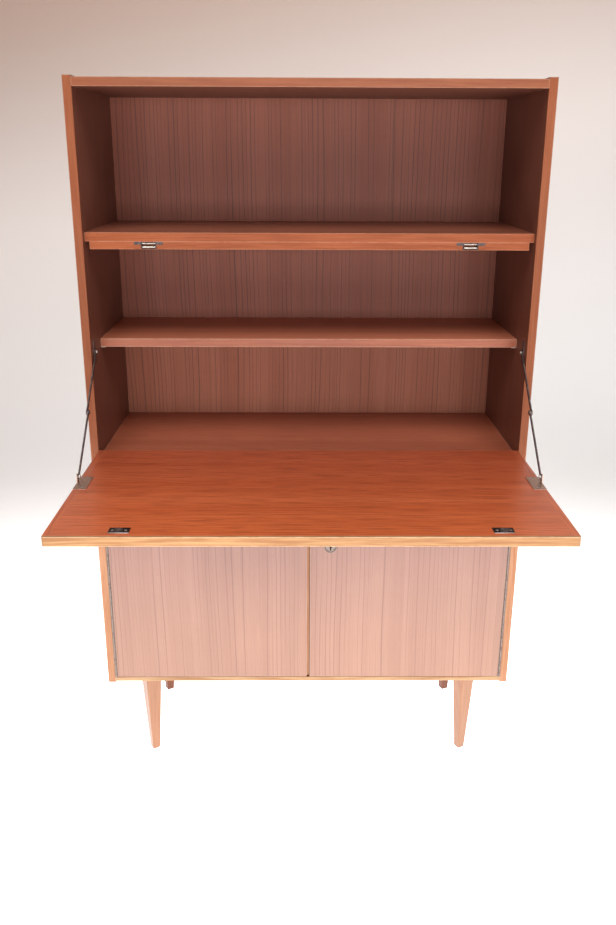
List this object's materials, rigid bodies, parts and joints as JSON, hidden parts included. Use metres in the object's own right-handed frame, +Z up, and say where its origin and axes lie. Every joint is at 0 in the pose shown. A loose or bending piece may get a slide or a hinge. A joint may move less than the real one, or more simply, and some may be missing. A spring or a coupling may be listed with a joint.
{
  "type": "secretary desk",
  "caption": "Tall wooden secretary desk with a fall-front writing flap on folding stays, shelves above, a lockable two-door cupboard below and tapered square legs.",
  "frame": {"origin": "on the floor, at the centre of the whole box with the writing flap let down", "axes": "+Z up, -Y towards the user, +X to the user's right"},
  "size_m": [0.9, 0.802, 1.474],
  "materials": {
    "wood_side": "satin lacquered veneer, dark inside",
    "wood_edge": "satin lacquered solid lipping",
    "wood_flap": "satin lacquered veneer, grain across",
    "wood_strip": "satin lacquered solid strip",
    "wood_back": "lacquered plywood, upright grain",
    "wood_door": "satin lacquered veneer, upright grain",
    "wood_lip": "pale satin lipping",
    "wood_leg": "satin lacquered solid wood",
    "steel_dark": "bronzed, worn",
    "steel_aged": "plated, dulled by age",
    "brass_dull": "dull brassed sheet",
    "steel_light": "plated, slightly dull"
  },
  "bodies": {
    "carcass": {"side_panel_left": "wood_side", "side_panel_right": "wood_side", "side_lippings": "wood_edge", "top_panel": "wood_edge", "bottom_panel": "wood_lip", "desk_floor": "wood_flap", "back_panel": "wood_back", "upper_shelf": "wood_flap", "upper_shelf_lipping": "wood_edge", "catch_batten": "wood_edge", "middle_shelf": "wood_flap", "middle_shelf_lipping": "wood_edge", "lower_shelf": "wood_side", "shelf_pins": "steel_light", "carcass_dowels": "wood_lip", "back_screws": "steel_light", "leg_front_left": "wood_leg", "leg_front_right": "wood_leg", "leg_rear_left": "wood_leg", "leg_rear_right": "wood_leg", "leg_plates": "steel_light", "leg_studs": "steel_light", "stay_brackets": "steel_dark", "stay_upper_rivets": "steel_light", "catch_frames": "steel_dark", "carcass_screws": "steel_light", "flap_hinge_fixed_leaf": "steel_light", "flap_hinge_pin": "steel_light", "door_hinge_fixed_leaves": "steel_aged", "door_hinge_pins": "steel_light"},
    "flap": {"flap_panel": "wood_flap", "flap_end_strips": "wood_strip", "flap_front_strip": "wood_lip", "flap_hinge_leaf": "steel_light", "strike_plates": "steel_light", "flap_stay_brackets": "brass_dull", "flap_stay_rivets": "steel_light", "flap_screws": "steel_light"},
    "door_left": {"door_left_panel": "wood_door", "meeting_strip": "wood_edge", "door_leaf_left": "steel_aged", "door_screws_left": "steel_light", "lock_keeper": "steel_light"},
    "door_right": {"door_right_panel": "wood_door", "door_leaf_right": "steel_aged", "door_screws_right": "steel_light", "lock_case": "steel_light", "escutcheon": "steel_aged"},
    "lock_bolt": {"lock_bolt": "steel_dark"},
    "stay_upper_left": {"upper_link_left": "steel_dark"},
    "stay_upper_right": {"upper_link_right": "steel_dark"},
    "stay_lower_left": {"lower_link_left": "steel_dark", "knuckle_rivet_left": "steel_dark"},
    "stay_lower_right": {"lower_link_right": "steel_dark", "knuckle_rivet_right": "steel_dark"},
    "roller_left_upper": {"roller_left_upper": "steel_light"},
    "roller_left_lower": {"roller_left_lower": "steel_light"},
    "roller_right_upper": {"roller_right_upper": "steel_light"},
    "roller_right_lower": {"roller_right_lower": "steel_light"}
  },
  "joints": [
    {"name": "flap_hinge", "type": "hinge", "parent": "carcass", "child": "flap", "pos_m": [0, 0.045, 0.7458], "axis": [-1, 0, 0], "range_deg": [0, 90]},
    {"name": "door_left_hinge", "type": "hinge", "parent": "carcass", "child": "door_left", "pos_m": [-0.4314, 0.0435, 0.475], "axis": [0, 0, -1], "range_deg": [0, 165]},
    {"name": "door_right_hinge", "type": "hinge", "parent": "carcass", "child": "door_right", "pos_m": [0.4314, 0.0435, 0.475], "axis": [0, 0, 1], "range_deg": [0, 165]},
    {"name": "lock_bolt_slide", "type": "slide", "parent": "door_right", "child": "lock_bolt", "axis": [-1, 0, 0], "range_m": [0, 0.009]},
    {"name": "stay_upper_left_pivot", "type": "hinge", "parent": "carcass", "child": "stay_upper_left", "pos_m": [-0.4313, 0.077, 0.96], "axis": [1, 0, 0], "range_deg": [0, 113.7]},
    {"name": "stay_lower_left_pivot", "type": "hinge", "parent": "flap", "child": "stay_lower_left", "pos_m": [-0.4286, -0.15, 0.774], "axis": [1, 0, 0], "range_deg": [0, 31.2]},
    {"name": "roller_left_upper_spin", "type": "hinge", "parent": "carcass", "child": "roller_left_upper", "pos_m": [-0.312, 0.0675, 1.17555], "axis": [1, 0, 0], "continuous": true},
    {"name": "roller_left_lower_spin", "type": "hinge", "parent": "carcass", "child": "roller_left_lower", "pos_m": [-0.312, 0.0675, 1.16795], "axis": [1, 0, 0], "continuous": true},
    {"name": "stay_upper_right_pivot", "type": "hinge", "parent": "carcass", "child": "stay_upper_right", "pos_m": [0.4313, 0.077, 0.96], "axis": [1, 0, 0], "range_deg": [0, 113.7]},
    {"name": "stay_lower_right_pivot", "type": "hinge", "parent": "flap", "child": "stay_lower_right", "pos_m": [0.4286, -0.15, 0.774], "axis": [1, 0, 0], "range_deg": [0, 31.2]},
    {"name": "roller_right_upper_spin", "type": "hinge", "parent": "carcass", "child": "roller_right_upper", "pos_m": [0.312, 0.0675, 1.17555], "axis": [1, 0, 0], "continuous": true},
    {"name": "roller_right_lower_spin", "type": "hinge", "parent": "carcass", "child": "roller_right_lower", "pos_m": [0.312, 0.0675, 1.16795], "axis": [1, 0, 0], "continuous": true}
  ],
  "couplings": [
    {"joint": "stay_upper_left_pivot", "follows": "flap_hinge", "ratio": 1.2627},
    {"joint": "stay_lower_left_pivot", "follows": "flap_hinge", "ratio": 0.3458},
    {"joint": "stay_upper_right_pivot", "follows": "flap_hinge", "ratio": 1.2627},
    {"joint": "stay_lower_right_pivot", "follows": "flap_hinge", "ratio": 0.3458}
  ]
}
